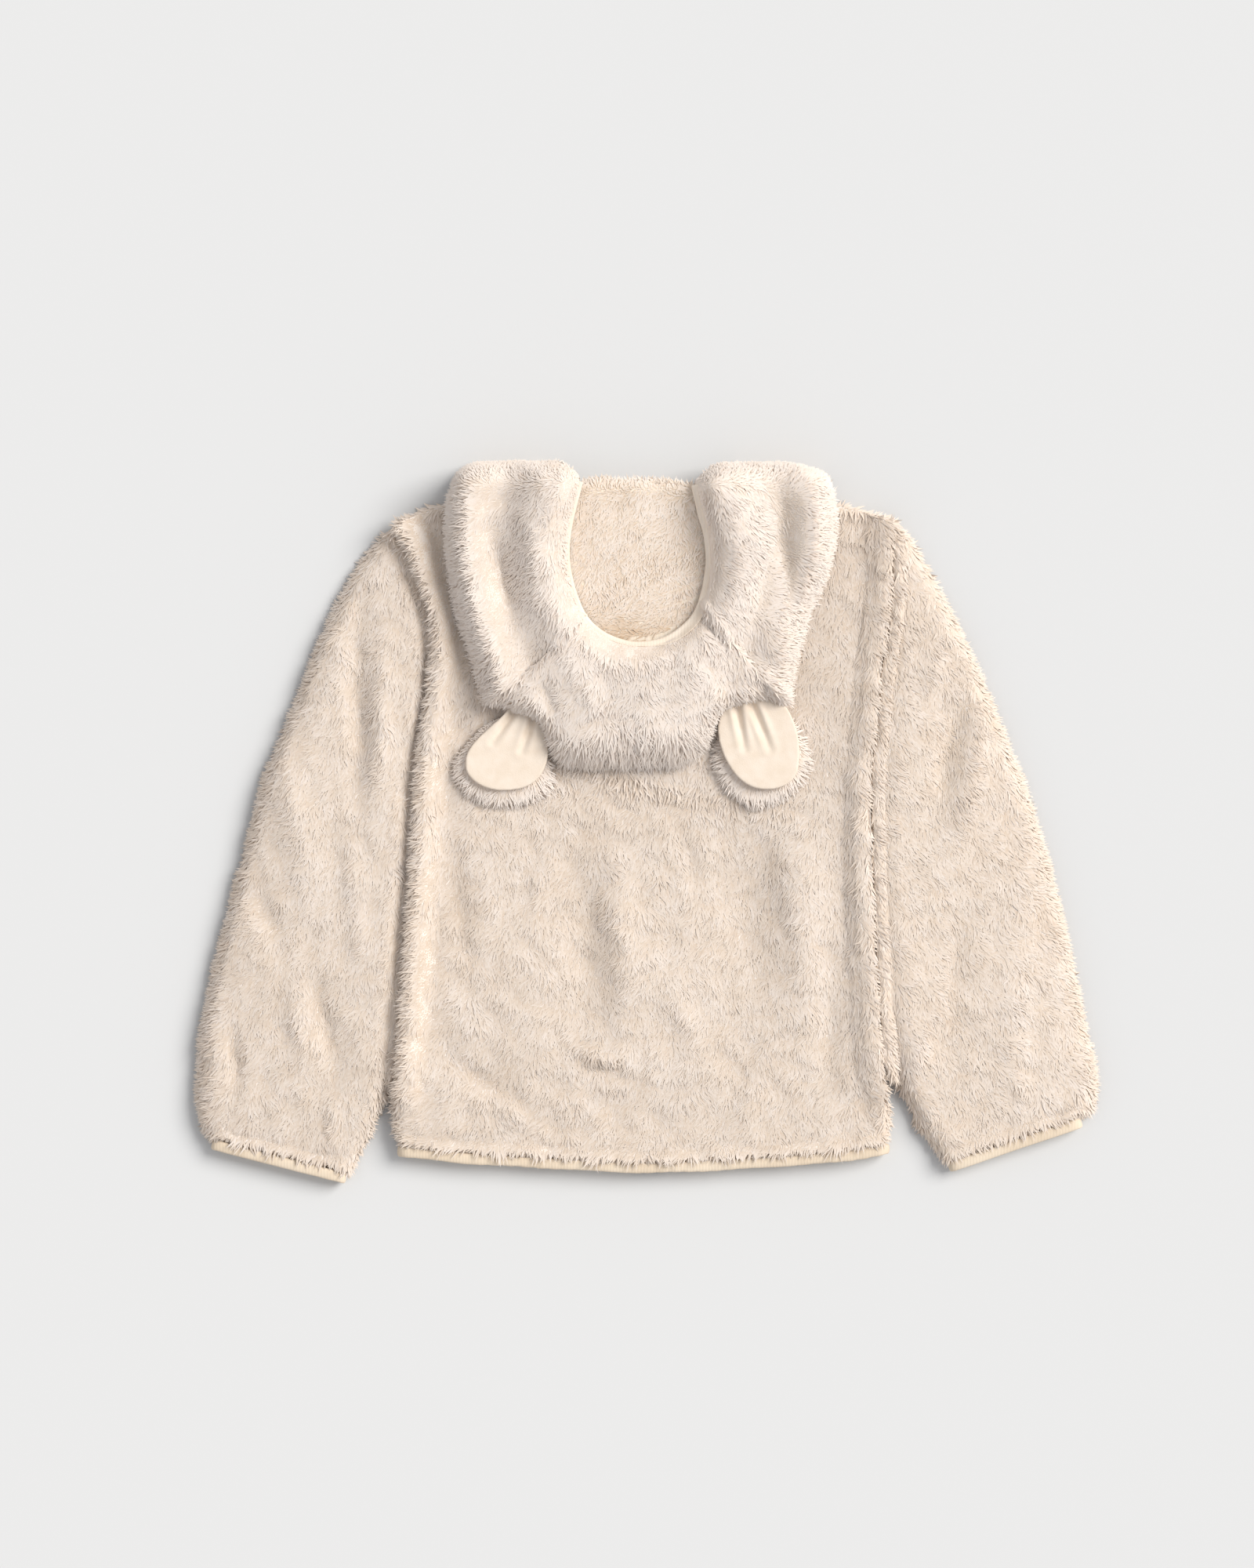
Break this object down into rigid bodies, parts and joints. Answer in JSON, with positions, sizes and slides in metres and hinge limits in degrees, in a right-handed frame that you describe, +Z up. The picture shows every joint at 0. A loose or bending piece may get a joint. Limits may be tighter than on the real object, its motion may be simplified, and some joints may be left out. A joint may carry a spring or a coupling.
{
  "type": "sherpa jacket",
  "caption": "Child's hooded sherpa jacket with bear ears, laid flat with its back up and its hood folded down over the back.",
  "frame": {"origin": "centre of the bounding box, on the surface that the jacket lies on", "axes": "+X from the wearer's left sleeve to the right one, +Y from the hem to the neck, +Z up out of the surface and through the back"},
  "size_m": [0.575, 0.4613, 0.05],
  "materials": {
    "sherpa": "curly cream pile of long locks",
    "fine_pile": "finer, shorter curly cream pile",
    "velvet": "short smooth cream velvet",
    "binding": "smooth beige stretch binding",
    "tape": "woven cream zip tape",
    "metal": "pale satin metal"
  },
  "bodies": {
    "jacket": {"back": "sherpa", "front_left": "sherpa", "front_right": "sherpa", "sleeve_left": "sherpa", "sleeve_right": "sherpa", "hood_side_left": "sherpa", "hood_side_right": "sherpa", "hood_crown": "sherpa", "hood_rear": "sherpa", "hood_lining": "fine_pile", "hood_edge": "binding", "ear_left": "sherpa", "ear_right": "sherpa", "ear_left_inner": "velvet", "ear_right_inner": "velvet", "hem_binding": "binding", "cuff_binding_left": "binding", "cuff_binding_right": "binding", "zip_tape_left": "tape", "zip_tape_right": "tape", "zip_slider": "metal"},
    "pull_tab": {"zip_pull": "metal"}
  },
  "joints": [
    {"name": "pull_hinge", "type": "hinge", "parent": "jacket", "child": "pull_tab", "pos_m": [0, 0.163, 0.002], "axis": [1, 0, 0], "range_deg": [0, 176]}
  ]
}
